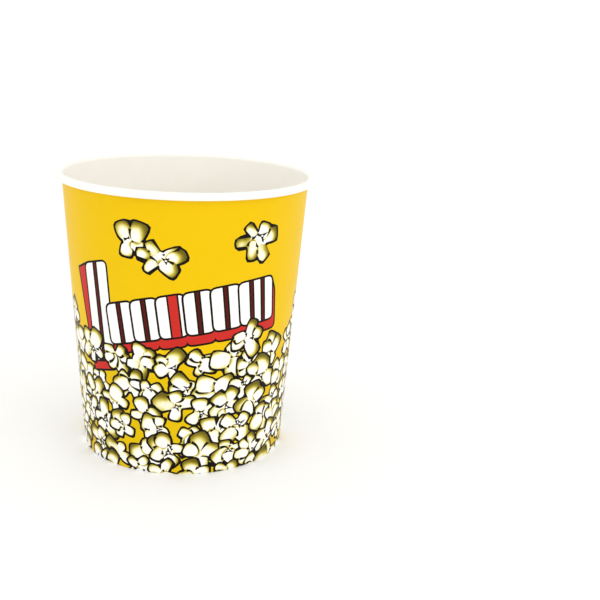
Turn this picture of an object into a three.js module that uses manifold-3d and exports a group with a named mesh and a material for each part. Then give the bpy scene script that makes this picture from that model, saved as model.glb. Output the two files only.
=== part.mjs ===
// A paper popcorn tub of the 85 fl oz theatre size, standing empty on its base.
//
// Two pieces of coated paperboard make it. The sidewall is one tapered sheet: its upper edge is rolled
// outwards into the rim, its lower edge is folded inwards and up into a hem, and its two ends lap in a
// glued side seam. The base disc is a flat disc with a skirt turned down all round, which the hem holds
// against the sidewall, so that the disc sits a little above the surface on which the tub stands.
//
// Units are millimetres. +Z is up, the axis of the tub is Z, and the tub stands on the plane z = 0.
import * as THREE from "three";
import { mergeVertices } from "three/addons/utils/BufferGeometryUtils.js";
import Module from "manifold-3d";

// Driving dimensions.
const HEIGHT = 176; // from the surface below to the top of the rolled rim
const RIM_WALL_RADIUS = 76; // outside of the sidewall level with the middle of the rim
const FOOT_RADIUS = 64.4; // outside of the sidewall at its lower edge
const BOARD = 0.5; // thickness of the paperboard
const RIM_ROLL_RADIUS = 2.4; // outside of the rolled rim's round section
const RIM_ROLL_END_RADIUS = 2.0; // outside of the roll where the edge of the sheet ends
const RIM_ROLL_TURN = 315; // degrees that the sheet turns in the roll
const DISC_UNDERSIDE = 10; // from the surface below to the underside of the base disc
const HEM_TOP = 8.5; // height to which the folded edge reaches inside
const FOLD_RADIUS = 0.6; // outer corners of the fold at the foot
const FIT_GAP = 0.3; // clearance between the two pieces
const SKIRT_CORNER_RADIUS = 1.2; // outer bend between the disc and its skirt
const SEAM_WIDTH = 8; // lap of the glued side seam
const SEAM_GLUE_DEPTH = 0.2; // how far the lap is sunk into the sheet below it
const SEGMENTS = 80; // flats round the tub

// Worked out from the driving dimensions.
const ROLL_CENTRE_Z = HEIGHT - RIM_ROLL_RADIUS;
const TAPER = (RIM_WALL_RADIUS - FOOT_RADIUS) / ROLL_CENTRE_Z;
const ROLL_CENTRE_RADIUS = RIM_WALL_RADIUS - BOARD + RIM_ROLL_RADIUS;
const HEM_SETBACK = 3 * BOARD + 2 * FIT_GAP; // from the outside of the sidewall to the inside of the hem

const wasm = await Module();
wasm.setup();

// Radius of the sidewall's outer face at a height.
function wallRadius(z) {
  return FOOT_RADIUS + TAPER * z;
}

// A point at a height, set in from the sidewall's outer face.
function inside(setback, z) {
  return new THREE.Vector2(wallRadius(z) - setback, z);
}

// Points of an arc from one angle to another, in degrees, with a radius that may change on the way.
function arc(centre, startRadius, endRadius, startAngle, endAngle, steps) {
  const points = [];
  for (let i = 0; i <= steps; i++) {
    const share = i / steps;
    const radius = THREE.MathUtils.lerp(startRadius, endRadius, share);
    const angle = THREE.MathUtils.degToRad(THREE.MathUtils.lerp(startAngle, endAngle, share));
    points.push(new THREE.Vector2(radius * Math.cos(angle), radius * Math.sin(angle)).add(centre));
  }
  return points;
}

// Turns a closed outline of (radius, height) points round the Z axis.
function turned(outline) {
  const geometry = new THREE.LatheGeometry([...outline, outline[0]], SEGMENTS);
  return geometry.rotateX(Math.PI / 2);
}

// A three.js geometry as a solid for cuts and joins.
function toSolid(geometry) {
  const bare = geometry.clone();
  bare.deleteAttribute("normal");
  bare.deleteAttribute("uv");
  const merged = mergeVertices(bare, 1e-4);
  return new wasm.Manifold(
    new wasm.Mesh({
      numProp: 3,
      vertProperties: merged.attributes.position.array,
      triVerts: new Uint32Array(merged.index.array),
    }),
  );
}

// A solid as a three.js geometry.
function toGeometry(solid) {
  const { vertProperties, triVerts } = solid.getMesh();
  const geometry = new THREE.BufferGeometry();
  geometry.setAttribute("position", new THREE.BufferAttribute(vertProperties, 3));
  geometry.setIndex(new THREE.BufferAttribute(triVerts, 1));
  geometry.computeVertexNormals();
  return geometry;
}

// One face of the sheet through the rim's roll: half a turn on a full radius, then closing in.
function rollFace(setIn) {
  const centre = new THREE.Vector2(ROLL_CENTRE_RADIUS, ROLL_CENTRE_Z);
  const full = RIM_ROLL_RADIUS - setIn;
  const end = RIM_ROLL_END_RADIUS - setIn;
  const overTheTop = arc(centre, full, full, 180, 0, 8);
  const underneath = arc(centre, full, end, 0, 180 - RIM_ROLL_TURN, 5);
  return [...overTheTop, ...underneath.slice(1)];
}

// The printed face of the sheet, from the end of the hem, under the foot and up the outside of the tub.
function printedFace() {
  const innerCorner = new THREE.Vector2(wallRadius(0) - HEM_SETBACK + FOLD_RADIUS, FOLD_RADIUS);
  const outerCorner = new THREE.Vector2(wallRadius(0) - FOLD_RADIUS, FOLD_RADIUS);
  return [
    inside(HEM_SETBACK, HEM_TOP),
    ...arc(innerCorner, FOLD_RADIUS, FOLD_RADIUS, 180, 270, 3),
    ...arc(outerCorner, FOLD_RADIUS, FOLD_RADIUS, 270, 360, 3),
    ...rollFace(BOARD),
  ];
}

// The plain face of the sheet, which is the inside of the tub and the outside of the roll.
function plainFace() {
  return [
    inside(HEM_SETBACK - BOARD, HEM_TOP),
    inside(HEM_SETBACK - BOARD, BOARD),
    inside(BOARD, BOARD),
    ...rollFace(0),
  ];
}

// The second layer of the side seam, on the outside of the sheet, square to the -X axis.
function seamLap() {
  const foot = 2 * FOLD_RADIUS;
  const top = ROLL_CENTRE_Z - RIM_ROLL_RADIUS;
  const band = toSolid(
    turned([
      inside(SEAM_GLUE_DEPTH, foot),
      inside(-BOARD, foot),
      inside(-BOARD, top),
      inside(SEAM_GLUE_DEPTH, top),
    ]),
  );
  const strip = new THREE.BoxGeometry(2 * RIM_WALL_RADIUS, SEAM_WIDTH, 2 * HEIGHT);
  strip.translate(-RIM_WALL_RADIUS, 0, 0);
  return band.intersect(toSolid(strip));
}

// The sidewall: the rolled and folded sheet with its seam.
function sidewall() {
  const sheet = toSolid(turned([...printedFace(), ...plainFace().reverse()]));
  const material = new THREE.MeshStandardMaterial({ color: "#f7c904", roughness: 0.4, metalness: 0 });
  const mesh = new THREE.Mesh(toGeometry(sheet.add(seamLap())), material);
  mesh.name = "sidewall";
  return mesh;
}

// The base disc: a flat disc with its skirt turned down between the sidewall and the hem.
function baseDisc() {
  const skirtOutside = BOARD + FIT_GAP;
  const skirtInside = skirtOutside + BOARD;
  const skirtFoot = BOARD + FIT_GAP;
  const discTop = DISC_UNDERSIDE + BOARD;
  const bend = inside(skirtOutside + SKIRT_CORNER_RADIUS, discTop - SKIRT_CORNER_RADIUS);
  const outline = [
    new THREE.Vector2(0, DISC_UNDERSIDE),
    inside(skirtInside, DISC_UNDERSIDE),
    inside(skirtInside, skirtFoot),
    inside(skirtOutside, skirtFoot),
    ...arc(bend, SKIRT_CORNER_RADIUS, SKIRT_CORNER_RADIUS, 0, 90, 4),
    new THREE.Vector2(0, discTop),
  ];
  const material = new THREE.MeshStandardMaterial({ color: "#f4efe6", roughness: 0.55, metalness: 0 });
  const mesh = new THREE.Mesh(toGeometry(toSolid(turned(outline))), material);
  mesh.name = "base_disc";
  return mesh;
}

const tub = new THREE.Group();
tub.add(sidewall(), baseDisc());

export default tub;
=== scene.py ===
# %% [markdown]
# # A paper popcorn tub
#
# This lesson builds an empty paper popcorn tub. Two pieces of white board make it: a printed sidewall,
# which is one sheet with a rolled rim, a folded foot and a glued seam, and a plain disc pressed up into
# the foot. The solid frame gives the true sizes. The lesson makes the sheet as a factory does: it draws
# the print on a flat blank, cuts the blank out, and then rolls and folds it into shape.

# %% Load the frame
import math

import bpy
import numpy as np
from mathutils import Matrix, Vector
from mathutils.geometry import delaunay_2d_cdt


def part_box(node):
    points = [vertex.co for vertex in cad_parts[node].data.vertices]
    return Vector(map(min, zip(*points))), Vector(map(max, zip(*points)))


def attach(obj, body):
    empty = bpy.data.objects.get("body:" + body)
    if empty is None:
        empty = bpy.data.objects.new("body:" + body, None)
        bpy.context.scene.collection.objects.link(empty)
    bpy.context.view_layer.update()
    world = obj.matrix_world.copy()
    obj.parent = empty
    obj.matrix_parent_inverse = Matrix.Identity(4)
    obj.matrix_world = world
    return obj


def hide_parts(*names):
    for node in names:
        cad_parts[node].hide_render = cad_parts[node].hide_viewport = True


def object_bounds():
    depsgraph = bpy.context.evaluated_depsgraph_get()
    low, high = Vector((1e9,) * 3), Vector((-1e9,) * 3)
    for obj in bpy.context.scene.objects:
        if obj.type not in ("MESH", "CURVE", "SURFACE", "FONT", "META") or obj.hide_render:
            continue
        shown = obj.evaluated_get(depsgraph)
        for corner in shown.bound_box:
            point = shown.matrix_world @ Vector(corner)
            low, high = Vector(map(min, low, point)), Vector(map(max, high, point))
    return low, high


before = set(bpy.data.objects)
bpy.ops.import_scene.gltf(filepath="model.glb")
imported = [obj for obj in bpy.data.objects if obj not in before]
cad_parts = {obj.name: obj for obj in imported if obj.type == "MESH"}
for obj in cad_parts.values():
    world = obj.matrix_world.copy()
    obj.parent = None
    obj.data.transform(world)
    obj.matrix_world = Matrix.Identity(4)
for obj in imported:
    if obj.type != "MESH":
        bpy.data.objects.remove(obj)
cad_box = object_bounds()
bpy.ops.object.select_all(action="DESELECT")
print("frame nodes:", sorted(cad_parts))

# %% [markdown]
# ## Sizes
#
# All sizes below are in millimetres, as on a drawing of the tub, and MM turns them into Blender's metres.
# The height and the width over the rim come from the frame. The board's thickness, the rim's roll and the
# foot's radius are the same few values that the solid sidewall was made from.

# %% Sizes of the tub
MM = 0.001
HEIGHT = cad_box[1].z / MM
RIM_OUTSIDE = cad_box[1].x / MM
FOOT_RADIUS = 64.4  # outside of the sidewall at its lower edge
BOARD = 0.5  # thickness of the paperboard
ROLL_RADIUS = 2.4  # outside of the rolled rim's round section
FOLD_RADIUS = 0.6  # outer corners of the fold at the foot
HEM_TOP = 8.5  # height to which the folded edge reaches inside the foot
HEM_SETBACK = 2.1  # from the outside of the sidewall to the hem's printed face
LAP = 8.0  # width of the glued side seam, halfway up the tub

ROLL_CENTRE_Z = HEIGHT - ROLL_RADIUS
ROLL_CENTRE = RIM_OUTSIDE - ROLL_RADIUS
ROLL_PRINTED = ROLL_RADIUS - BOARD  # radius of the printed face, on the inside of the roll
TAPER = (ROLL_CENTRE - ROLL_PRINTED - FOOT_RADIUS) / ROLL_CENTRE_Z
LEAN = math.atan(TAPER)  # angle between the sidewall and the tub's axis
MEAN_RADIUS = FOOT_RADIUS + TAPER * HEIGHT / 2
LAP_ANGLE = LAP / MEAN_RADIUS


def wall_radius(z):
    """Outside radius of the sidewall at a height."""
    return FOOT_RADIUS + TAPER * z


print(f"tub {HEIGHT:.1f} mm tall, {2 * RIM_OUTSIDE:.1f} mm over the rim")
print(f"the wall leans {math.degrees(LEAN):.2f} degrees")

# %% [markdown]
# ## Camera
#
# A product shot of a tub is taken from a little above the rim, so that the inside of the far wall shows.
# The camera stands about 0.65 m away with a slightly long lens, which keeps the sides of the tub from
# spreading. A camera without a turn looks straight down, so it is first rolled a little about that line,
# then pitched up to just below the horizon, and then turned to the right.

# %% Camera
CAMERA_PLACE = Vector((0.0, -0.6185, 0.2723))
CAMERA_YAW, CAMERA_PITCH, CAMERA_ROLL = (math.radians(a) for a in (6.88, -16.05, 2.655))
FOCAL_LENGTH = 59.4  # for a sensor 36 mm wide

bpy.ops.object.camera_add()
camera = bpy.context.object
camera.matrix_world = (
    Matrix.Translation(CAMERA_PLACE)
    @ Matrix.Rotation(-CAMERA_YAW, 4, "Z")
    @ Matrix.Rotation(math.pi / 2 + CAMERA_PITCH, 4, "X")
    @ Matrix.Rotation(CAMERA_ROLL, 4, "Z")
)
camera.data.lens = FOCAL_LENGTH
bpy.context.scene.camera = camera
print("camera at", tuple(round(c, 3) for c in camera.location))

# %% [markdown]
# ## Floor and light
#
# The tub stands on a plain white sweep in bright, soft light, as for a catalogue. A white world lights it
# evenly from all round. A large lamp from the upper right gives the board its slight change of tone from
# side to side, and a weaker one fills in from the left. Together they leave a faint shadow at the foot.

# %% Floor, world and lamps
FLOOR_SIZE = 6.0
WORLD_STRENGTH = 1.05


def add_lamp(name, place, size, watts):
    """A square soft lamp that looks at the middle of the tub."""
    bpy.ops.object.light_add(type="AREA", location=place)
    lamp = bpy.context.object
    lamp.name = name
    lamp.data.size = size
    lamp.data.energy = watts
    aim = Vector((0, 0, HEIGHT * MM / 2)) - Vector(place)
    lamp.rotation_euler = aim.to_track_quat("-Z", "Y").to_euler()
    return lamp


bpy.ops.mesh.primitive_plane_add(size=FLOOR_SIZE, location=(0, 0, 0))
floor = bpy.context.object
floor.name = "floor"

world = bpy.data.worlds.new("white_sweep")
bpy.context.scene.world = world
world.use_nodes = True
sky = world.node_tree.nodes["Background"]
sky.inputs["Color"].default_value = (1, 1, 1, 1)
sky.inputs["Strength"].default_value = WORLD_STRENGTH
lamps = [
    add_lamp("key_lamp", place=(0.95, -0.95, 0.75), size=0.9, watts=2.4),
    add_lamp("fill_lamp", place=(-0.95, -0.75, 0.55), size=1.1, watts=0.8),
]
bpy.context.scene.view_settings.view_transform = "Standard"
print("floor", FLOOR_SIZE, "m, lamps:", [lamp.name for lamp in lamps])

# %% [markdown]
# ## Helpers for materials
#
# Two helpers serve every material. One turns a colour written as on a paint chart into the linear numbers
# that light is added up in. The other adds a node with its settings and its links in one line.


# %% Colour and node helpers
def linear(colour):
    """An sRGB colour such as "#f7c904" as linear red, green, blue and alpha."""
    parts = [int(colour[i : i + 2], 16) / 255 for i in (1, 3, 5)]
    return [p / 12.92 if p <= 0.04045 else ((p + 0.055) / 1.055) ** 2.4 for p in parts] + [1.0]


def add_node(tree, kind, values=None, links=None, **settings):
    """A node of this kind, with values for its inputs and links from other nodes' outputs."""
    new = tree.nodes.new(kind)
    for name, value in settings.items():
        setattr(new, name, value)
    for name, value in (values or {}).items():
        new.inputs[name].default_value = value
    for name, output in (links or {}).items():
        tree.links.new(output, new.inputs[name])
    return new


print("half-bright grey in linear light:", round(linear("#808080")[0], 3))

# %% [markdown]
# ## White board and printing inks
#
# The board is bleached white paperboard with a very thin plastic coat, rolled smooth, so it has a satin
# shine and a faint cloudy tone from its fibres. The print is offset ink under a thin varnish: each ink lies
# as flat colour, slightly mottled where the board drank more of it, and the varnish adds a weak, soft
# reflection over all of them. Real fibres are about 0.03 mm wide, too fine to show, so the tooth of the
# surface is drawn at 0.9 mm and the clouds of the sheet at 9 mm.

# %% Board and ink materials
TOOTH, CLOUD = 0.9, 9.0  # widths of the tooth and the clouds
TOOTH_HEIGHT = 0.02
TOOTH_STRENGTH = 0.35
UNEVEN_SHINE = 0.06  # how far the clouds move the roughness up and down
VARNISH = {"IOR": 1.48, "Specular IOR Level": 0.09, "Coat Weight": 0.02, "Coat Roughness": 0.15}
PLASTIC_COAT = {"IOR": 1.5, "Specular IOR Level": 0.35, "Coat Weight": 0.05, "Coat Roughness": 0.2}
PAPER = {"IOR": 1.45, "Specular IOR Level": 0.2}


def mix_colours(tree, share, first, second):
    """A node output that goes from the first colour to the second, each a hex value or an output."""
    new = add_node(tree, "ShaderNodeMix", data_type="RGBA")
    tree.links.new(share, new.inputs["Factor"])
    for name, colour in (("A", first), ("B", second)):
        if isinstance(colour, str):
            new.inputs[name].default_value = linear(colour)
        else:
            tree.links.new(colour, new.inputs[name])
    return new.outputs["Result"]


def finish_board(name, paint, roughness, surface_values):
    """A paperboard surface: clouded colour, tooth as bump, uneven shine. Returns the material.

    The paint is two hex colours to mix, or a function that returns the colour's node output.
    """
    material = bpy.data.materials.new(name)
    material.use_nodes = True
    tree = material.node_tree
    surface = tree.nodes["Principled BSDF"]
    place = add_node(tree, "ShaderNodeTexCoord").outputs["Object"]
    grain = {"Scale": 1 / (CLOUD * MM), "Detail": 3.0, "Roughness": 0.55}
    clouds = add_node(tree, "ShaderNodeTexNoise", grain, {"Vector": place}).outputs["Fac"]
    grain = {"Scale": 1 / (TOOTH * MM), "Detail": 2.0, "Roughness": 0.6}
    tooth = add_node(tree, "ShaderNodeTexNoise", grain, {"Vector": place}).outputs["Fac"]
    if callable(paint):
        colour = paint(tree, clouds, place)
    else:
        colour = mix_colours(tree, clouds, *paint)
    tree.links.new(colour, surface.inputs["Base Color"])
    uneven = {"To Min": roughness - UNEVEN_SHINE, "To Max": roughness + UNEVEN_SHINE}
    shine = add_node(tree, "ShaderNodeMapRange", uneven, {"Value": clouds})
    tree.links.new(shine.outputs["Result"], surface.inputs["Roughness"])
    relief = {"Strength": TOOTH_STRENGTH, "Distance": TOOTH_HEIGHT * MM}
    bump = add_node(tree, "ShaderNodeBump", relief, {"Height": tooth})
    tree.links.new(bump.outputs["Normal"], surface.inputs["Normal"])
    for socket, value in surface_values.items():
        surface.inputs[socket].default_value = value
    return material


# %% Yellow ink
HEAP_TONE_LOW, HEAP_TONE_HIGH = 62.0, 84.0  # heights between which the yellow changes


def yellow_paint(tree, clouds, place):
    """Warm yellow above, a deeper tone in the gaps of the heap below."""
    height = add_node(tree, "ShaderNodeSeparateXYZ", links={"Vector": place}).outputs["Z"]
    ends = {"From Min": HEAP_TONE_LOW * MM, "From Max": HEAP_TONE_HIGH * MM}
    share = add_node(tree, "ShaderNodeMapRange", ends, {"Value": height}).outputs["Result"]
    upper = mix_colours(tree, clouds, "#e9be00", "#ecc200")
    lower = mix_colours(tree, clouds, "#dfba00", "#e3be00")
    return mix_colours(tree, share, lower, upper)


yellow_ink = finish_board("offset_yellow_ink_varnished", yellow_paint, 0.42, VARNISH)
print("nodes of the yellow ink:", len(yellow_ink.node_tree.nodes))

# %% [markdown]
# ## The popcorn inks
#
# The popcorn is printed in tints of yellow and black over the white board. Where a lobe faces the light the
# board stays bare, and towards its far side the tints run through pale yellow and olive to a dark olive.
# Two attributes of the mesh say where a spot lies in its own lobe and in the lobe in front of it, so the
# shading needs only the lengths of two vectors and one colour ramp.

# %% Popcorn inks
POPCORN_TINTS = (  # shade, colour
    (0.0, "#fbf9f2"),
    (0.24, "#f3edc0"),
    (0.45, "#d8ca66"),
    (0.72, "#a39127"),
    (1.0, "#6b5d18"),
)
ROUNDING = (0.35, 1.3)  # where the shade of a lobe begins and is full, from the middle of its light
CONTACT = (1.5, 0.98, 0.8)  # the same for the shade of the lobe in front, and how dark it gets


def softly(tree, value, low, high, to_high=1.0):
    """0 below low and to_high above high, with a soft step between."""
    ends = {"From Min": low, "From Max": high, "To Max": to_high}
    step = add_node(tree, "ShaderNodeMapRange", ends, {"Value": value}, interpolation_type="SMOOTHSTEP")
    return step.outputs["Result"]


def popcorn_paint(tree, clouds, place):
    """White lobes that turn pale yellow and olive towards their far side, and where one lies on another."""
    lengths = []
    for attribute in ("lobe_place", "front_lobe_place"):
        stored = add_node(tree, "ShaderNodeAttribute", attribute_name=attribute).outputs["Vector"]
        length = add_node(tree, "ShaderNodeVectorMath", links={0: stored}, operation="LENGTH")
        lengths.append(length.outputs["Value"])
    rounding = softly(tree, lengths[0], *ROUNDING)
    contact = softly(tree, lengths[1], *CONTACT)
    shade = add_node(tree, "ShaderNodeMath", links={0: rounding, 1: contact}, operation="MAXIMUM")
    ramp = add_node(tree, "ShaderNodeValToRGB", links={"Fac": shade.outputs["Value"]})
    ramp.color_ramp.elements.remove(ramp.color_ramp.elements[1])
    ramp.color_ramp.elements[0].color = linear(POPCORN_TINTS[0][1])
    for position, colour in POPCORN_TINTS[1:]:
        ramp.color_ramp.elements.new(position).color = linear(colour)
    return ramp.outputs["Color"]


popcorn_ink = finish_board("offset_popcorn_tints_varnished", popcorn_paint, 0.42, VARNISH)
print("popcorn tints:", len(POPCORN_TINTS))

# %% Other inks and the bare board
INKS = {
    "board": finish_board("bleached_board_coated", ("#fdfaf3", "#fbf7ee"), 0.5, PLASTIC_COAT),
    "yellow": yellow_ink,
    "black": finish_board("offset_black_ink_varnished", ("#0c0906", "#140f0a"), 0.38, VARNISH),
    "white": finish_board("unprinted_white_varnished", ("#fbfaf6", "#f8f6f0"), 0.42, VARNISH),
    "red": finish_board("offset_red_ink_varnished", ("#c62a22", "#cc3129"), 0.42, VARNISH),
    "maroon": finish_board("offset_maroon_ink_varnished", ("#4c0f08", "#5a150d"), 0.4, VARNISH),
    "popcorn": popcorn_ink,
}
floor.data.materials.append(finish_board("white_sweep_paper", ("#ffffff", "#fdfdfd"), 0.8, PAPER))
print("materials:", len(bpy.data.materials))

# %% [markdown]
# ## Drawing a popcorn kernel
#
# The print is line art, so it needs crisp edges at any distance. A kernel that has burst is a few swollen
# lobes round a small core, and the print draws each lobe as a soft block with its corners cut off. Seen
# from the kernel's middle, its outline is the furthest edge of any lobe in each direction. The same outline
# with all lobes grown by half a line's width is the outside of the black line, and with all lobes shrunk by
# as much it is the inside. The outer one is moved a little, so that the line swells on one side, as ink
# drawn with a brush does.

# %% Lobes and outlines
FULL_TURN = 2 * math.pi
NO_LENGTH = 1e-12
LINE = 1.3  # width of the black line
LINE_SHIFT = np.array((0.1, -0.22))
LOBE_POWER = 11.0  # how crisp the corners of a lobe are
OUTLINE_STEPS = 40  # few enough for the outline to look cut with a knife
OUTLINE_REACH = np.linspace(1.0, 22.0, 211)  # distances tried in each direction


def direction(angle):
    """The flat vector of length 1 at an angle, or one for each angle."""
    return np.stack((np.cos(angle), np.sin(angle)), axis=-1)


def round_steps(count):
    """The angles of a full turn in even steps."""
    return np.linspace(0, FULL_TURN, count, endpoint=False)


def unit(vectors):
    """The same directions with length 1."""
    return vectors / np.maximum(np.linalg.norm(vectors, axis=-1, keepdims=True), NO_LENGTH)


def left_of(vector):
    """A flat vector after a quarter turn to the left, or each of several."""
    return np.stack((-vector[..., 1], vector[..., 0]), axis=-1)


def lobe_places(points, lobe, grow=0.0):
    """Points in a lobe's own frame, where its edge is about 1 from its middle."""
    shifted = points - lobe["centre"]
    along = shifted @ lobe["axis"] / (lobe["long"] + grow)
    across = shifted @ left_of(lobe["axis"]) / (lobe["short"] + grow)
    return np.stack((along, across / (1 + lobe["flare"] * np.clip(along, -1, 1))), axis=-1)


def block_depth(places, corner):
    """Distance from the middle of a block with cut corners, where 1 is its edge."""
    sides = np.abs(places)
    cut = sides.sum(-1, keepdims=True) / corner
    return (np.concatenate((sides, cut), axis=-1) ** LOBE_POWER).sum(-1) ** (1 / LOBE_POWER)


def lobe_depth(points, lobe, grow=0.0):
    """Below 1 inside the lobe, 1 on its edge, more outside."""
    return block_depth(lobe_places(points, lobe, grow), lobe["corner"])


def outline(lobes, grow, start):
    """The furthest edge of any lobe in each direction from the kernel's middle."""
    rays = direction(start + round_steps(OUTLINE_STEPS))
    samples = rays[:, None, :] * OUTLINE_REACH[None, :, None]
    covered = np.zeros(samples.shape[:2], bool)
    for lobe in lobes:
        covered |= lobe_depth(samples, lobe, grow) < 1
    last = covered.shape[1] - 1 - covered[:, ::-1].argmax(1)
    return rays * OUTLINE_REACH[last][:, None]


print("an outline has", OUTLINE_STEPS, "points, each within", OUTLINE_REACH[-1], "mm")

# %% [markdown]
# No two kernels burst alike. The core lies a little off the middle, one lobe is larger than the others, and
# each differs in size, direction and corners. All lengths here are in sizes of the kernel.

# %% A kernel's lobes
SHADE_SIDE = (0.64, 0.77)  # the shaded side is the upper right
LIGHT_SPREAD = 0.7  # how far a lobe's own light may turn from the common light
CORNER = (1.45, 1.8)  # 2 would be a square block, and less cuts its corners further
FLARE = (0.0, 0.35)
LIGHT_SHIFT = (0.12, 0.5)  # from the middle of a lobe to the middle of its light, in sizes of the lobe
TURNED = (0.1, 0.8)
HEART_SHIFT = 0.13  # from the kernel's middle to its core
CORE_LONG, CORE_SHORT, CORE_LEAN = 0.48, 0.42, 0.5
FLATTENED = 0.26  # how much flatter a kernel may be in one direction
LARGEST_SWELL, SWELL = 1.22, (0.74, 1.06)
REACH = (0.48, 0.72)  # from the core to the middle of a lobe
LONG, SHORT = (0.4, 0.52), (0.34, 0.46)  # half of a lobe's length and width
SLIM = {4: 1.08, 5: 0.94, 6: 0.84}  # the more lobes there are, the slimmer they are
ANGLE_JITTER, LEAN_JITTER = 0.36, 0.75


def make_lobe(draw, centre, lean, long, short, turned):
    """One lobe, wider at its outer end, which is turned away from the light by up to about 1."""
    light = math.atan2(-SHADE_SIDE[1], -SHADE_SIDE[0]) + draw.uniform(-LIGHT_SPREAD, LIGHT_SPREAD)
    return {
        "centre": centre,
        "axis": direction(lean),
        "long": long,
        "short": short,
        "corner": draw.uniform(*CORNER),
        "flare": draw.uniform(*FLARE),
        "light": draw.uniform(*LIGHT_SHIFT) * direction(light),
        "turned": turned * draw.uniform(*TURNED),
    }


def make_lobes(draw, size, count, stretch, shaded):
    """A burst kernel's core and lobes, the ones at the back first and darkest."""
    start = draw.uniform(0, FULL_TURN)
    largest = int(draw.integers(count))
    heart = size * draw.uniform(-HEART_SHIFT, HEART_SHIFT, 2)
    flattened = draw.uniform(0, FLATTENED) if stretch == 1 else 0.0
    flat_way = direction(draw.uniform(0, math.pi))
    lean = draw.uniform(-CORE_LEAN, CORE_LEAN)
    lobes = [make_lobe(draw, heart, lean, size * CORE_LONG * stretch, size * CORE_SHORT, 0.0)]
    for turn, i in enumerate(draw.permutation(count)):
        swell = LARGEST_SWELL if i == largest else draw.uniform(*SWELL)
        angle = start + FULL_TURN * i / count + draw.uniform(-ANGLE_JITTER, ANGLE_JITTER)
        reach = size * draw.uniform(*REACH)
        centre = heart + reach * (direction(angle) * (stretch, 1.0))
        centre = centre - flattened * (centre @ flat_way) * flat_way
        long = size * draw.uniform(*LONG) * swell
        short = size * draw.uniform(*SHORT) * swell * SLIM[count]
        turned = shaded + (1 - shaded) * (1 - turn / (count - 1))
        lean = angle + draw.uniform(-LEAN_JITTER, LEAN_JITTER)
        lobes.append(make_lobe(draw, centre, lean, long, short, turned))
    return lobes


print("kernels have", min(SLIM), "to", max(SLIM), "lobes round a core")

# %% [markdown]
# Between two lobes a printed kernel has a fold: a black stroke that starts at a notch of the outline and
# thins out towards the middle, and at times a short one from its inner end. Each front lobe's own edge
# gives the line of the fold. Near the middle of some kernels, a small dark star with a light centre marks
# the hull that they burst from.

# %% Folds and the star in the middle
FOLD_STEPS = 36
FOLD_START, FOLD_END = 2.0, 0.3  # width of a fold's stroke at its two ends
CLEARLY_INSIDE = 0.97  # an edge that lies this deep in a lobe behind it is drawn as a fold
STAR_OFFSET, STAR_JITTER = 0.22, 0.25
STAR_TIP, STAR_WAIST = (0.2, 0.44), 0.095  # of its arms, from its middle, in sizes of the kernel
SPOT, SPOT_STRETCH = 0.055, 1.5


def taper_stroke(path, start_width, end_width):
    """A closed outline round a path, with a width that changes evenly along it."""
    normals = unit(left_of(np.gradient(path, axis=0)))
    widths = np.linspace(start_width, end_width, len(path))[:, None] / 2
    return np.concatenate((path + normals * widths, (path - normals * widths)[::-1]))


def fold_lines(lobes, index):
    """The stretches of a lobe's edge that lie inside the kernel and in front of all other lobes."""
    lobe = lobes[index]
    block = direction(round_steps(FOLD_STEPS))
    block /= block_depth(block, lobe["corner"])[:, None]
    across = block[:, 1:] * (1 + lobe["flare"] * block[:, :1]) * lobe["short"] * left_of(lobe["axis"])
    edge = lobe["centre"] + block[:, :1] * lobe["long"] * lobe["axis"] + across
    behind = np.zeros(FOLD_STEPS, bool)
    for other in lobes[:index]:
        behind |= lobe_depth(edge, other, -LINE / 2) < CLEARLY_INSIDE
    hidden = np.zeros(FOLD_STEPS, bool)
    for other in lobes[index + 1 :]:
        hidden |= lobe_depth(edge, other) < 1
    kept = behind & ~hidden
    if kept.all() or not kept.any():
        return []
    first = next(i for i in range(FOLD_STEPS) if kept[i] and not kept[i - 1])
    kept, edge = np.roll(kept, -first), np.roll(edge, -first, axis=0)
    ends = np.flatnonzero(kept[1:] != kept[:-1]) + 1
    return [run for run in np.split(edge, ends)[::2] if len(run) > 2]


def star(draw, size):
    """A dark star of three or four short arms, and the light spot on it."""
    centre = draw.uniform(-STAR_OFFSET, STAR_OFFSET, 2) * size
    turn = draw.uniform(0, FULL_TURN)
    arms = int(draw.integers(3, 5))
    points = []
    for i in range(arms):
        angle = turn + FULL_TURN * i / arms + draw.uniform(-STAR_JITTER, STAR_JITTER)
        tip = size * draw.uniform(*STAR_TIP)
        points.append(centre + tip * direction(angle))
        points.append(centre + size * STAR_WAIST * direction(angle + math.pi / arms))
    corners = direction(turn + round_steps(4))
    return np.array(points), centre + SPOT * size * (corners * (SPOT_STRETCH, 1.0))


print("a fold thins out from", FOLD_START, "to", FOLD_END, "mm")

# %% [markdown]
# A kernel is kept as a small stack of flat shapes, the lowest first, with the ink that each is printed in.
# Its lobes go along, because the popcorn ink shades each spot by its place in its lobe.


# %% A whole kernel
NOTCH_REACH = 0.55  # a fold's end that is further from the middle, in sizes of the kernel, is at a notch
NOTCH_DEPTH = (0.3, 0.9)  # length of the stroke from a notch, in sizes of the kernel
INNER_DEPTH = (-0.35, 0.35)  # the same from an inner end, where half of the strokes are left out
STAR_SHARE = 0.4  # share of the kernels that show a star


def fold_stroke(path, depth):
    """The stroke over the first stretch of a fold's path, about this long."""
    travelled = np.cumsum(np.linalg.norm(np.diff(path, axis=0), axis=1))
    points = max(3, int((travelled < depth).sum()) + 1)
    return taper_stroke(path[:points], FOLD_START, FOLD_END)


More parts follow.
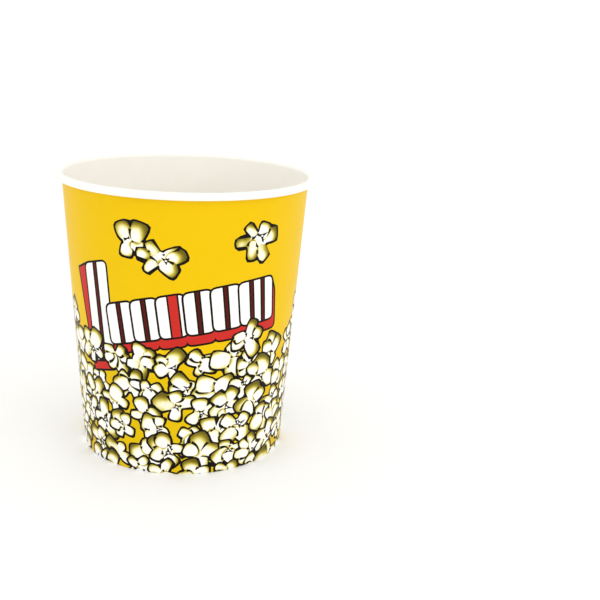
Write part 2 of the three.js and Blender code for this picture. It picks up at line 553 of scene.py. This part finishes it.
def make_kernel(draw, size, count, stretch=1.0, shaded=0.0):
    """A kernel's shapes in its own frame, as (ink, outline) in printing order, its folds and its lobes."""
    lobes = make_lobes(draw, size, count, stretch, shaded)
    start = draw.uniform(0, FULL_TURN)
    shapes = [
        ("black", outline(lobes, LINE / 2, start) + LINE_SHIFT),
        ("popcorn", outline(lobes, -LINE / 2, start)),
    ]
    edges = [line for index in range(2, len(lobes)) for line in fold_lines(lobes, index)]
    for path in (path for line in edges for path in (line, line[::-1])):
        at_notch = np.linalg.norm(path[0]) > NOTCH_REACH * size
        depth = size * draw.uniform(*(NOTCH_DEPTH if at_notch else INNER_DEPTH))
        if depth > 0:
            shapes.append(("black", fold_stroke(path, depth)))
    if draw.random() < STAR_SHARE:
        dark, light = star(draw, size)
        shapes += [("black", dark), ("white", light)]
    return {"size": size, "lobes": lobes, "shapes": shapes, "edges": edges}


sample = make_kernel(np.random.default_rng(0), 10.0, 5)
print("a kernel of 10 mm has", len(sample["shapes"]), "shapes and", len(sample["edges"]), "folds")

# %% [markdown]
# ## The heap and the loose kernels
#
# The print shows a heap of popcorn all round the foot, lower in the middle of the front and higher at the
# sides, with a few kernels flying above it. The same panel is printed twice round the tub. The kernels of
# the heap stand in staggered rows with some disorder, and each row lies in front of the one above it.

# %% Places of the kernels
PANEL = math.pi  # angle of one printed panel
HEAP_LOW, HEAP_RISE, HEAP_PEAK, HEAP_SPREAD = 81.0, 25.0, math.radians(86), math.radians(27)
KERNEL_RADIUS, KERNEL_SIZES = 11.3, (0.82, 1.14)
LOBE_COUNTS = (4, 4, 5, 5, 6)
SPACING = 17.7
ROW_STEP = SPACING * 0.84
HEAP_START = -2.0
DISORDER = 3.6
TOP_SHARE = 0.35  # how much of a kernel must fit under the heap's top, in sizes of the kernel
HEAP_SEED = 5


def heap_height(angle):
    """Height of the heap's top at an angle from the middle of the front."""
    away = abs((angle + PANEL / 2) % PANEL - PANEL / 2)
    gap = min(abs(away - HEAP_PEAK), abs(away + HEAP_PEAK - PANEL))
    return HEAP_LOW + HEAP_RISE * math.exp(-((gap / HEAP_SPREAD) ** 2))


def make_heap(draw):
    """Kernels with their angle and height, the top row first."""
    placed = []
    rows = int((HEAP_LOW + HEAP_RISE - HEAP_START) / ROW_STEP) + 1
    for row in reversed(range(rows)):
        z = HEAP_START + row * ROW_STEP
        count = round(PANEL * wall_radius(z) / SPACING)
        for i in range(count):
            angle = PANEL * ((i + 0.5 * (row % 2)) / count - 0.5)
            angle += draw.uniform(-DISORDER, DISORDER) / wall_radius(z)
            height = z + draw.uniform(-DISORDER, DISORDER)
            size = KERNEL_RADIUS * draw.uniform(*KERNEL_SIZES)
            kernel = make_kernel(draw, size, int(draw.choice(LOBE_COUNTS)))
            if height + TOP_SHARE * size < heap_height(angle):
                placed.append({"angle": angle, "z": height, **kernel})
    return placed


heap = make_heap(np.random.default_rng(HEAP_SEED))
SINGLE = (  # angle in degrees, height, seed, then size, lobes, stretch round the tub, how shaded
    (32.0, 87.0, 5, 11.6, 5, 1.0, 0.3),
    (-24.5, 146.1, 49, 11.3, 4, 1.0, 1.0),
    (-9.8, 137.0, 25, 11.4, 6, 1.5, 1.0),
    (34.5, 147.5, 23, 12.0, 6, 1.5, 1.0),
)
single = []
for angle, z, seed, *rest in SINGLE:
    kernel = make_kernel(np.random.default_rng(seed), *rest)
    single.append({"angle": math.radians(angle), "z": z, **kernel})
print(f"kernels in one panel: {len(heap)} in the heap, {len(single)} single")

# %% [markdown]
# ## The banner
#
# Across the middle of the front lies a banner that rises to the right: a row of white cards with rounded
# corners, each over the edge of the one before, and behind them at the left end a tall card that reaches
# down into the heap. Dark stripes run over their full height, and a solid red edge gives them thickness,
# as if cut from thick board. The banner carries no words. Each part is an outline in millimetres along and
# up the tub, measured at the banner's own height.

# %% Place and height of the banner
BANNER_RADIUS = wall_radius(100.0)
CARD_EDGES = (-46.5, -29.5, -13.8, 1.8, 17.5, 34.5, 58.5)  # measured along the lower edge
CARD_OVERLAP = 0.7
CARD_CORNER = 4.0
CARD_HEIGHT, CARD_GROWTH = 26.3, 0.03  # in the middle, and how much more for each millimetre to the right
RIBBON_BASE, RIBBON_SLOPE, RIBBON_ARCH = 90.3, 0.16, 0.0012  # height, slope and bend of the lower edge
CARD_LEAN = 0.12  # how far an upright line leans to the left for each millimetre up


def ribbon_height(x):
    """Height of the cards from their lower to their upper edge."""
    return CARD_HEIGHT + CARD_GROWTH * x


def on_ribbon(points):
    """Points along and above the banner's lower edge, which arches up to the right, on the flat sheet."""
    x, up = points[:, 0], points[:, 1]
    base = RIBBON_BASE + RIBBON_SLOPE * x - RIBBON_ARCH * x**2
    return np.stack((x - CARD_LEAN * up, base + up), axis=-1)


print(f"cards {ribbon_height(CARD_EDGES[0]):.1f} to {ribbon_height(CARD_EDGES[-1]):.1f} mm high")

# %% Grown, divided, rounded and swept outlines
BANNER_STEP = 2.5  # longest straight stretch, so that the outline follows the round wall
CORNER_STEPS = 5


def grown(points, distance):
    """A counter-clockwise outline moved outwards, or inwards if distance is negative."""
    before = points - np.roll(points, 1, axis=0)
    after = np.roll(points, -1, axis=0) - points
    normal = unit(-left_of(before))
    bisector = normal + unit(-left_of(after))
    bisector /= (bisector * normal).sum(1, keepdims=True)
    return points + distance * bisector


def in_short_steps(points):
    """The same outline with its long sides divided."""
    result = []
    for start, end in zip(points, np.roll(points, -1, axis=0)):
        parts = max(1, math.ceil(np.linalg.norm(end - start) / BANNER_STEP))
        result.extend(start + (end - start) * i / parts for i in range(parts))
    return np.array(result)


def rounded(points, radius):
    """An outline with each corner replaced by a curve that starts this far before it."""
    result = []
    for before, corner, after in zip(np.roll(points, 1, axis=0), points, np.roll(points, -1, axis=0)):
        start = corner + radius * unit(before - corner)
        end = corner + radius * unit(after - corner)
        for share in np.linspace(0, 1, CORNER_STEPS):
            result.append((1 - share) ** 2 * start + 2 * share * (1 - share) * corner + share**2 * end)
    return np.array(result)


def swept(face, back):
    """The outline round two convex shapes and all that lies between them."""
    both = np.concatenate((face, back))
    both = both[np.lexsort((both[:, 1], both[:, 0]))]
    hull = []
    for part in (both, both[::-1]):
        chain = []
        for p in part:
            while len(chain) > 1 and np.cross(chain[-1] - chain[-2], p - chain[-1]) <= 1e-6:
                chain.pop()
            chain.append(p)
        hull.extend(chain[:-1])
    return np.array(hull)


print("a long side is divided every", BANNER_STEP, "mm")

# %% Cards and stripes
EDGE_DROP = 6.4  # how far the red edge reaches below the cards
EDGE_SPREAD = 0.05  # and outwards, for each millimetre from the middle
STRIPE, STRIPE_LINE = 2.7, LINE * 0.8
STRIPES = (  # card, share of its width, width of the stripe, ink
    (0, 0.5, STRIPE, "maroon"),
    (1, 0.5, STRIPE, "maroon"),
    (2, 0.6, 2.2 * STRIPE, "red"),
    (3, 0.5, STRIPE, "maroon"),
    (4, 0.5, STRIPE, "maroon"),
    (5, 0.34, STRIPE, "maroon"),
    (5, 0.68, STRIPE, "maroon"),
)
TALL_CARD = np.array(((-63.0, 66.0), (-45.0, 70.5), (-48.0, 132.0), (-67.0, 127.0)))
TALL_BACK = np.array(((-64.0, 60.0), (-46.5, 64.0), (-54.0, 127.5), (-75.0, 122.5)))
TALL_STRIPE = np.array(((-55.3, 67.9), (-52.6, 68.6), (-56.2, 129.8), (-59.0, 129.1)))


def upright(left, right, corner=0.0):
    """The outline of a card or stripe that stands between two places on the banner's lower edge."""
    top_left, top_right = ribbon_height(left), ribbon_height(right)
    points = np.array(((left, 0.0), (right, 0.0), (right, top_right), (left, top_left)))
    return on_ribbon(in_short_steps(rounded(points, corner) if corner else points))


def card(index):
    """The outline of a card."""
    return upright(CARD_EDGES[index] - CARD_OVERLAP, CARD_EDGES[index + 1] + CARD_OVERLAP, CARD_CORNER)


def card_stripe(index, share, width):
    """The outline of a stripe over the full height of a card."""
    middle = CARD_EDGES[index] + share * (CARD_EDGES[index + 1] - CARD_EDGES[index])
    return upright(middle - width / 2, middle + width / 2)


def lined(points, ink, line=LINE):
    """An outline filled with an ink, with a black line round it."""
    return [("black", grown(points, line / 2)), (ink, grown(points, -line / 2))]


def banner_shapes():
    """(ink, outline) for the whole banner, the lowest first."""
    cards = [card(i) for i in range(len(CARD_EDGES) - 1)]
    spread = np.array((EDGE_SPREAD, 0.0))
    solids = [swept(rounded(TALL_CARD, CARD_CORNER), TALL_BACK)]
    solids += [swept(face, face + face[:, :1] * spread - np.array((0.0, EDGE_DROP))) for face in cards]
    shapes = [("black", grown(solid, LINE / 2)) for solid in solids]
    shapes += [("red", grown(solid, -LINE / 2)) for solid in solids]
    shapes += lined(rounded(TALL_CARD, CARD_CORNER), "white")
    shapes += lined(TALL_STRIPE, "maroon", STRIPE_LINE)
    for index, face in enumerate(cards):
        shapes += lined(face, "white")
        for _, share, width, ink in (s for s in STRIPES if s[0] == index):
            shapes += lined(card_stripe(index, share, width), ink, STRIPE_LINE)
    return shapes


print("banner of", len(CARD_EDGES) - 1, "cards and", len(banner_shapes()), "outlines")

# %% [markdown]
# ## The path of the sheet
#
# Cut through the wall of the tub and the sheet shows as one long line: up the hem inside the foot, round
# the fold that the tub stands on, up the sidewall, and round the roll of the rim. Here that line is walked
# on the sheet's printed face. It gives, for each distance along the sheet, the radius and height that this
# spot has on the finished tub, and which way the print faces there.

# %% Arcs and straight lines of the path
FINE = 0.05  # distance between the points of the walk


def arc_points(centre, start_radius, end_radius, start, end):
    """Points of an arc in the plane of radius and height, with angles in radians."""
    count = max(8, int(abs(end - start) * start_radius / FINE))
    angles = np.linspace(start, end, count)
    radii = np.linspace(start_radius, end_radius, count)
    return centre + radii[:, None] * direction(angles)


def line_points(start, end):
    """Points of a straight line, without its ends."""
    count = max(3, int(np.linalg.norm(np.subtract(end, start)) / FINE))
    return np.linspace(start, end, count)[1:-1]


print("a line of 1 mm has", len(line_points((0, 0), (1, 0))), "points")

# %% Walk along the sheet
ROLL_TURN = math.radians(350)
ROLL_END_PRINTED = 1.36  # radius of the printed face where the roll ends
hem_corner = (wall_radius(FOLD_RADIUS) - HEM_SETBACK + FOLD_RADIUS / math.cos(LEAN), FOLD_RADIUS)
foot_corner = (wall_radius(FOLD_RADIUS) - FOLD_RADIUS / math.cos(LEAN), FOLD_RADIUS)
roll_centre = (ROLL_CENTRE, ROLL_CENTRE_Z)
hem_fold = arc_points(hem_corner, FOLD_RADIUS, FOLD_RADIUS, math.pi - LEAN, 1.5 * math.pi)
foot_fold = arc_points(foot_corner, FOLD_RADIUS, FOLD_RADIUS, -math.pi / 2, -LEAN)
roll_top = arc_points(roll_centre, ROLL_PRINTED, ROLL_PRINTED, math.pi - LEAN, 0)
roll_under = arc_points(roll_centre, ROLL_PRINTED, ROLL_END_PRINTED, 0, math.pi - LEAN - ROLL_TURN)[1:]
hem = line_points((wall_radius(HEM_TOP) - HEM_SETBACK, HEM_TOP), hem_fold[0])
foot_flat = line_points(hem_fold[-1], foot_fold[0])
wall = line_points(foot_fold[-1], roll_top[0])

sections = (hem, hem_fold, foot_flat, foot_fold, wall, roll_top, roll_under)
walk = np.concatenate(sections)
walk_steps = np.linalg.norm(np.diff(walk, axis=0), axis=1)
walk_length = np.concatenate(([0.0], np.cumsum(walk_steps)))
walk_tangent = np.gradient(walk, walk_length, axis=0)
walk_normal = unit(-left_of(walk_tangent))
ends = walk_length[np.cumsum([len(s) for s in sections]) - 1]
HEM_END, _, _, WALL_START, WALL_END, _, SHEET_END = ends
print(f"the sheet is {SHEET_END:.1f} mm from the edge of the hem to the edge in the roll")


def up_the_sheet(z):
    """Distance along the sheet of a height on the sidewall."""
    return WALL_START + (z - foot_fold[-1][1]) / math.cos(LEAN)


# %% [markdown]
# ## Forming the blank
#
# A spot of the flat blank has an angle round the tub, a distance along the sheet and a depth in the board.
# This function bends it into place. Where the end of the sheet laps over its beginning, it rises by one
# thickness of board on a short ramp, and near the foot, where the corner of the sheet is cut away so that
# the fold stays thin, it doesn't rise.

# %% Bend the sheet round the tub
RAMP = 3.2 / MEAN_RADIUS  # angle of the ramp in front of the lap
LAP_RISE = BOARD * 1.04
FRONT = math.pi / 2 + LAP_ANGLE / 2  # angle on the blank of the middle of the front
LAP_FOOT = (WALL_START + 0.4, WALL_START + 2.6, WALL_START + 9.0)  # no rise, full rise, full lap
NEAR_ANGLE, NEAR_ALONG = 0.002, 0.02  # how close the places are that give the surface's direction


def smooth(value, low, high):
    """0 below low, 1 above high, and a soft step between."""
    t = np.clip((value - low) / (high - low), 0, 1)
    return t * t * (3 - 2 * t)


def formed(angle, along, depth):
    """Places on the finished tub, in metres, of spots on the flat blank."""
    radius = np.interp(along, walk_length, walk[:, 0])
    height = np.interp(along, walk_length, walk[:, 1])
    out = np.interp(along, walk_length, walk_normal[:, 0])
    up = np.interp(along, walk_length, walk_normal[:, 1])
    rise = smooth(angle, FULL_TURN - RAMP, FULL_TURN) * smooth(along, LAP_FOOT[0], LAP_FOOT[1])
    shift = LAP_RISE * rise - depth
    radius = radius + out * shift
    height = height + up * shift
    turn = angle - FRONT
    return MM * np.stack((radius * np.sin(turn), -radius * np.cos(turn), height), axis=-1)


def print_normals(angle, along):
    """Which way the printed face looks at spots of the formed sheet."""
    across = formed(angle + NEAR_ANGLE, along, 0.0) - formed(angle - NEAR_ANGLE, along, 0.0)
    upward = formed(angle, along + NEAR_ALONG, 0.0) - formed(angle, along - NEAR_ALONG, 0.0)
    return unit(np.cross(across, upward))


front_foot = formed(np.array([FRONT]), WALL_START, 0.0)[0]
print("the foot's fold ends at", [round(c, 4) for c in front_foot.tolist()])

# %% [markdown]
# ## Printing the flat blank
#
# The printed side is one flat mesh, divided along every line of the drawing, so that each face carries one
# ink. Blender's constrained Delaunay triangulation does this: it takes all the outlines, one on top of
# another, and splits them where they cross. The last outline that holds a triangle then gives its ink, as
# the last ink printed shows. A net of extra points keeps the triangles small enough to bend.

# %% Flat positions of the drawing
COLUMN = math.radians(3.0)
ROW = 4.2
PRINT_LOW = HEM_END - 3.0  # the ink runs a little way up the hem
PRINT_HIGH = WALL_END + 1.0  # and ends inside the roll
ALL_ROUND = FULL_TURN + LAP_ANGLE
END_GAP = 0.0008  # angle between the two ends of the sheet where they don't lap


def end_angle(along):
    """Angle at which the sheet's outer end lies, for a distance along the sheet."""
    lapped = np.clip((along - LAP_FOOT[1]) / (LAP_FOOT[2] - LAP_FOOT[1]), 0, 1)
    return FULL_TURN - END_GAP + (LAP_ANGLE + END_GAP) * lapped


def on_blank(points, angle, z, radius):
    """Points in millimetres round a place on the tub, as angle and distance along the flat sheet."""
    return np.stack((angle + FRONT + points[:, 0] / radius, up_the_sheet(z + points[:, 1])), axis=-1)


rows = np.concatenate(
    (
        np.linspace(0, HEM_END, 7)[:-1],
        np.linspace(HEM_END, WALL_START, 15)[:-1],
        np.linspace(WALL_START, WALL_END, int((WALL_END - WALL_START) / ROW) + 1)[:-1],
        np.linspace(WALL_END, SHEET_END, 31),
    )
)
columns = np.concatenate(
    (
        np.arange(0, FULL_TURN - RAMP - COLUMN / 2, COLUMN),
        np.linspace(FULL_TURN - RAMP, FULL_TURN, 7),
        np.linspace(FULL_TURN, ALL_ROUND, 4)[1:],
    )
)
print("net of", len(columns), "columns and", len(rows), "rows")

# %% Collect every outline, the lowest first
PANELS = range(-3, 4)  # more than the sheet holds, so that what crosses its ends is printed there too
PAST_END, BEFORE_END = 0.02, 0.01  # angles past which an outline, and a fold's line, is left out
ink_layers = []


def add_layer(ink, points, angle, z, radius, kernel=None):
    """Adds an outline to the print, on each panel where it reaches onto the sheet."""
    for panel in PANELS:
        centre = angle + panel * PANEL
        flat = on_blank(points, centre, z, radius)
        if flat[:, 0].max() > -PAST_END and flat[:, 0].min() < ALL_ROUND + PAST_END:
            layer = {"ink": ink, "flat": flat, "kernel": kernel}
            ink_layers.append({**layer, "centre": centre, "z": z, "radius": radius})


for ink, points in banner_shapes():
    add_layer(ink, in_short_steps(points), 0.0, 0.0, BANNER_RADIUS)
fold_edges = []
for kernel in heap + single:
    radius = wall_radius(kernel["z"])
    for ink, points in kernel["shapes"]:
        add_layer(ink, points, kernel["angle"], kernel["z"], radius, kernel)
    for line in kernel["edges"]:
        for panel in PANELS:
            flat = on_blank(line, kernel["angle"] + panel * PANEL, kernel["z"], radius)
            if BEFORE_END < flat[:, 0].min() and flat[:, 0].max() < ALL_ROUND - BEFORE_END:
                fold_edges.append(flat)
print("outlines on the blank:", len(ink_layers))

# %% [markdown]
# The blank itself is the first outline, the yellow field the second, and then come the banner and the
# kernels. The folds of the sheet and both ends of the ink are added as lines with many points, because a
# triangle that spans a fold would cut straight across the tub.

# %% Split the plane along the drawing
CLOSE = 1e-3  # points nearer than this, in millimetres, become one


def border_of_blank():
    """The blank's outline, counter-clockwise, with a point at each row and column."""
    low = [(a, 0.0) for a in columns if a < end_angle(0.0)]
    right = [(end_angle(v), v) for v in rows]
    high = [(a, SHEET_END) for a in columns[::-1]][1:]
    left = [(0.0, v) for v in rows[::-1]][1:-1]
    return low + right + high + left


def triangulate(outlines, lines, points):
    """The places and triangles of a plane that is split along closed outlines and open lines."""
    places, pairs = [], []
    for flat, closed in [(o, True) for o in outlines] + [(line, False) for line in lines]:
        first, count = len(places), len(flat)
        sides = count if closed else count - 1
        pairs.extend((first + i, first + (i + 1) % count) for i in range(sides))
        places.extend(flat)
    places.extend(points)
    flat_mm = [Vector((p[0] * MEAN_RADIUS, p[1])) for p in places]
    found = delaunay_2d_cdt(flat_mm, pairs, [], 0, CLOSE, False)
    spots = np.array([(p.x / MEAN_RADIUS, p.y) for p in found[0]])
    return spots, np.array(found[2])


def inside_outline(points, flat):
    """Which points lie in a closed outline: those from which a ray crosses it an odd number of times."""
    result = np.zeros(len(points), bool)
    low, high = flat.min(0), flat.max(0)
    near = np.flatnonzero(((points >= low) & (points <= high)).all(1))
    x, y = points[near, :1], points[near, 1:]
    start, end = flat, np.roll(flat, -1, axis=0)
    spans = (start[:, 1] > y) != (end[:, 1] > y)
    rise = np.where(end[:, 1] == start[:, 1], 1.0, end[:, 1] - start[:, 1])
    crossing = start[:, 0] + (y - start[:, 1]) / rise * (end[:, 0] - start[:, 0])
    result[near] = (spans & (x < crossing)).sum(1) % 2 == 1
    return result


print("points round the blank:", len(border_of_blank()))

# %% Triangulate the printed side
NET_MARGIN = 0.004  # angle that the net keeps away from the end of the sheet
FIELD_PAST_END = 0.1  # angle by which the yellow field reaches past the sheet


def row_across(v):
    """A line over the whole blank, with a point at each column."""
    return np.array([(a, v) for a in columns if a < end_angle(v)] + [(end_angle(v), v)])


border = np.array(border_of_blank())
net = [(a, v) for v in rows[1:-1] for a in columns[1:] if a < end_angle(v) - NET_MARGIN]
folds = [v for v in rows if HEM_END <= v <= WALL_START] + [PRINT_LOW, PRINT_HIGH]
fold_rows = [row_across(v) for v in folds]
left, right = -FIELD_PAST_END, ALL_ROUND + FIELD_PAST_END
field = np.array(((left, PRINT_LOW), (right, PRINT_LOW), (right, PRINT_HIGH), (left, PRINT_HIGH)))
outlines = [border, field] + [layer["flat"] for layer in ink_layers]
spots, triangles = triangulate(outlines, fold_edges + fold_rows, net)
triangles = triangles[inside_outline(spots[triangles].mean(1), border)]
print("printed side:", len(spots), "points,", len(triangles), "triangles")

# %% Choose each triangle's ink
INK_NAMES = list(INKS)
middles = spots[triangles].mean(1)
inks = np.full(len(triangles), INK_NAMES.index("board"))
tops = np.full(len(triangles), -1)
in_field = inside_outline(middles, field)
inks[in_field] = INK_NAMES.index("yellow")
for index, layer in enumerate(ink_layers):
    covered = in_field & inside_outline(middles, layer["flat"])
    inks[covered] = INK_NAMES.index(layer["ink"])
    tops[covered] = index
print({name: int((inks == i).sum()) for i, name in enumerate(INK_NAMES)})

# %% [markdown]
# ## Shading the lobes
#
# Artists shade each lobe of a printed kernel on the side away from the light. Every corner of the mesh
# stores its place in its lobe, with the middle of the light moved to the lower left. The same is stored for
# the lobe in front of it, whose edge darkens what lies behind. Both are flat, even measures, so the ink's
# shading is smooth over faces of any shape.

# %% Places in the lobes, for every corner
FAR_AWAY = 9.0
MIDDLE_LIGHT = 0.55  # how much weaker the shade is in the middle of a kernel
MIDDLE = (0.3, 0.95)  # where the middle ends, in sizes of the kernel


def corner_places(layer, flat):
    """Flat places in a kernel's own frame, in millimetres."""
    across = (flat[..., 0] - layer["centre"] - FRONT) * layer["radius"]
    upward = (flat[..., 1] - up_the_sheet(layer["z"])) * math.cos(LEAN)
    return np.stack((across, upward), axis=-1)


def middle_fade(places, size):
    """Less than 1 near the middle of a kernel, where the lobes run together in the light."""
    distance = np.linalg.norm(places, axis=-1)
    return 1 - MIDDLE_LIGHT * (1 - smooth(distance, MIDDLE[0] * size, MIDDLE[1] * size))


def lobe_attributes(layer, flat_corners):
    """The two attributes for the three corners of each triangle of one popcorn shape."""
    corners = corner_places(layer, flat_corners)
    middles = corners.mean(axis=1)
    lobes = layer["kernel"]["lobes"]
    depths = np.stack([lobe_depth(middles, lobe) for lobe in lobes], axis=-1)
    last_inside = depths.shape[1] - 1 - (depths < 1)[:, ::-1].argmax(1)
    front = np.where((depths < 1).any(1), last_inside, depths.argmin(1))
    fade = middle_fade(corners, layer["kernel"]["size"])
    own = np.zeros((*corners.shape[:2], 3))
    ahead = np.full((*corners.shape[:2], 3), FAR_AWAY)
    for index, lobe in enumerate(lobes):
        chosen = front == index
        light = np.array((lobe["light"] @ lobe["axis"], lobe["light"] @ left_of(lobe["axis"])))
        own[chosen, :, :2] = (lobe_places(corners[chosen], lobe) - light) * fade[chosen][..., None]
        own[chosen, :, 2] = lobe["turned"] * fade[chosen]
        later = lobes[index + 1 :]
        if later:
            nearest = min(later, key=lambda other: np.linalg.norm(other["centre"] - lobe["centre"]))
            ahead[chosen, :, :2] = lobe_places(corners[chosen], nearest)
            ahead[chosen, :, 2] = 0
    return own, ahead


flat_corners = spots[triangles]
lobe_own = np.zeros((len(triangles), 3, 3))
lobe_front = np.full((len(triangles), 3, 3), FAR_AWAY)
popcorn_faces = inks == INK_NAMES.index("popcorn")
for top in np.unique(tops[popcorn_faces]):
    chosen = (tops == top) & popcorn_faces
    lobe_own[chosen], lobe_front[chosen] = lobe_attributes(ink_layers[top], flat_corners[chosen])
print("shaded popcorn triangles:", int(popcorn_faces.sum()))

# %% [markdown]
# ## The plain side and the cut edges
#
# The other side of the board has no print, so it needs only the net of points and the same border. The two
# sides are joined by narrow faces, which are the cut edges of the board.


# %% Follow the border of the printed side
def border_loop(faces):
    """The vertices of a mesh's border, in the order in which its faces go round them."""
    pairs = np.concatenate([np.stack((faces[:, i], faces[:, (i + 1) % 3]), axis=-1) for i in range(3)])
    size = faces.max() + 1
    forth, back = pairs[:, 0] * size + pairs[:, 1], pairs[:, 1] * size + pairs[:, 0]
    following = dict(pairs[~np.isin(forth, back)].tolist())
    first = next(iter(following))
    loop = [first]
    while following[loop[-1]] != first:
        loop.append(following[loop[-1]])
    return loop, len(following)


loop, border_count = border_loop(triangles)
print("border:", len(loop), "of", border_count, "edges in one loop")
plain_spots, plain_triangles = triangulate([spots[loop]], [], net)
plain_triangles = plain_triangles[inside_outline(plain_spots[plain_triangles].mean(1), spots[loop])]
print("plain side:", len(plain_triangles), "triangles")


# %% Join both sides into one sheet
def flat_key(spot):
    """A flat place, rounded, by which the two sides find each other's points."""
    return round(spot[0], 6), round(spot[1], 4)


used = np.unique(triangles)
renumber = np.full(len(spots), -1)
renumber[used] = np.arange(len(used))
printed_spots = spots[used]
printed_faces = renumber[triangles]
plain_keys = {flat_key(p): i for i, p in enumerate(plain_spots)}
printed_loop = renumber[loop]
plain_loop = len(used) + np.array([plain_keys[flat_key(p)] for p in spots[loop]])
edge_faces = np.stack((np.roll(printed_loop, -1), printed_loop, plain_loop, np.roll(plain_loop, -1)), axis=-1)
printed_places = formed(printed_spots[:, 0], printed_spots[:, 1], 0.0)
places = np.concatenate((printed_places, formed(plain_spots[:, 0], plain_spots[:, 1], BOARD)))
faces = printed_faces.tolist() + (len(used) + plain_triangles[:, ::-1]).tolist() + edge_faces.tolist()
mesh = bpy.data.meshes.new("printed_sidewall")
mesh.from_pydata(places.tolist(), [], faces)
sidewall = bpy.data.objects.new("printed_sidewall", mesh)
bpy.context.scene.collection.objects.link(sidewall)
for name in INK_NAMES:
    mesh.materials.append(INKS[name])
board_index = INK_NAMES.index("board")
face_inks = inks.tolist() + [board_index] * (len(faces) - len(inks))
mesh.polygons.foreach_set("material_index", face_inks)
mesh.polygons.foreach_set("use_smooth", [True] * len(faces))
print("sidewall:", len(faces), "faces")

# %% [markdown]
# ## Smooth shading
#
# The faces of the drawing have all shapes, and Blender's own smooth shading would average them unevenly.
# The true direction of the surface is known at every spot, so it is given to the mesh as custom normals.
# The cut edges keep their own flat normals, because a cut edge of board is sharp.

# %% Custom normals and lobe attributes
printed_normals = print_normals(printed_spots[:, 0], printed_spots[:, 1])
plain_normals = -print_normals(plain_spots[:, 0], plain_spots[:, 1])
corner_normals = [printed_normals[printed_faces].reshape(-1, 3)]
corner_normals.append(plain_normals[plain_triangles[:, ::-1]].reshape(-1, 3))
edge_corners = places[edge_faces]
first_side, second_side = edge_corners[:, 1] - edge_corners[:, 0], edge_corners[:, 2] - edge_corners[:, 0]
corner_normals.append(np.repeat(unit(np.cross(first_side, second_side)), 4, axis=0))
mesh.normals_split_custom_set(np.concatenate(corner_normals).tolist())

corner_count = sum(len(face) for face in faces)
for name, values, far in (("lobe_place", lobe_own, 0.0), ("front_lobe_place", lobe_front, FAR_AWAY)):
    attribute = mesh.attributes.new(name, "FLOAT_VECTOR", "CORNER")
    data = np.full((corner_count, 3), far)
    data[: values.shape[0] * 3] = values.reshape(-1, 3)
    attribute.data.foreach_set("vector", data.ravel().astype(np.float32))
mesh.update()
print("mesh valid:", not mesh.validate(verbose=False))

# %% [markdown]
# ## The base disc
#
# The bottom of a paper tub is a disc pressed into a shallow tray: flat in the middle, with a rounded bend
# and a skirt turned down between the wall and the hem. It is modelled by hand: a filled circle, insets for
# the bend, an extrusion for the skirt, and then its thickness and the rounding of its sharp edges.

# %% Model the base disc
disc_low, disc_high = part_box("base_disc")
DISC_SEGMENTS = 120
DISC_GAP = 0.2  # how far the disc's edge stays inside the solid's
RINGS = (1.2, 4.0, 12.0, 20.0)  # widths of the rings of faces, from the edge inwards
DISC_TOP = disc_high.z
SKIRT_FOOT = disc_low.z
SKIRT_OUTSIDE = disc_high.x
bpy.ops.object.select_all(action="DESELECT")
disc_radius = SKIRT_OUTSIDE - DISC_GAP * MM
bpy.ops.mesh.primitive_circle_add(
    vertices=DISC_SEGMENTS, radius=disc_radius, fill_type="NGON", location=(0, 0, DISC_TOP)
)
base = bpy.context.object
base.name = "base_disc_board"
bpy.ops.object.transform_apply(location=True, rotation=True, scale=True)
bpy.ops.object.mode_set(mode="EDIT")
for width in RINGS:
    bpy.ops.mesh.inset(thickness=width * MM)
bpy.ops.mesh.select_all(action="SELECT")
bpy.ops.mesh.region_to_loop()
bpy.ops.mesh.extrude_region_move(TRANSFORM_OT_translate={"value": (0, 0, SKIRT_FOOT - DISC_TOP)})
shrink = (SKIRT_OUTSIDE - TAPER * (DISC_TOP - SKIRT_FOOT)) / SKIRT_OUTSIDE
bpy.ops.transform.resize(value=(shrink, shrink, 1))
bpy.ops.object.mode_set(mode="OBJECT")
print("base disc:", len(base.data.polygons), "faces before its thickness")

# %% Thickness and bend of the base disc
BEND, BEND_SEGMENTS = 1.0, 4
BENT_EDGE, SMOOTH_EDGE = math.radians(50), math.radians(40)  # bent if sharper, shaded smooth if flatter
SAME_POINT = 0.02  # points of the bend that are nearer than this become one
thickness = base.modifiers.new("board", "SOLIDIFY")
thickness.thickness = BOARD * MM
thickness.offset = -1
thickness.use_even_offset = True
bpy.ops.object.modifier_apply(modifier="board")
bend = base.modifiers.new("pressed_bend", "BEVEL")
bend.width = BEND * MM
bend.segments = BEND_SEGMENTS
bend.limit_method = "ANGLE"
bend.angle_limit = BENT_EDGE
bpy.ops.object.modifier_apply(modifier="pressed_bend")
bpy.ops.object.mode_set(mode="EDIT")
bpy.ops.mesh.select_all(action="SELECT")
bpy.ops.mesh.remove_doubles(threshold=SAME_POINT * MM)
bpy.ops.object.mode_set(mode="OBJECT")
bpy.ops.object.shade_smooth_by_angle(angle=SMOOTH_EDGE)
base.data.materials.append(INKS["board"])
print("base disc:", len(base.data.polygons), "faces")

# %% [markdown]
# ## Attach the pieces
#
# Each piece rides on the tub's one body, and the solid of the frame that it stands for is hidden. The
# drawn tub has to stay inside the solid one.

# %% Attach the pieces and finish
for piece, node, slot_name in ((sidewall, "sidewall", "printed_board"), (base, "base_disc", "plain_board")):
    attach(piece, "root")
    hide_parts(node)
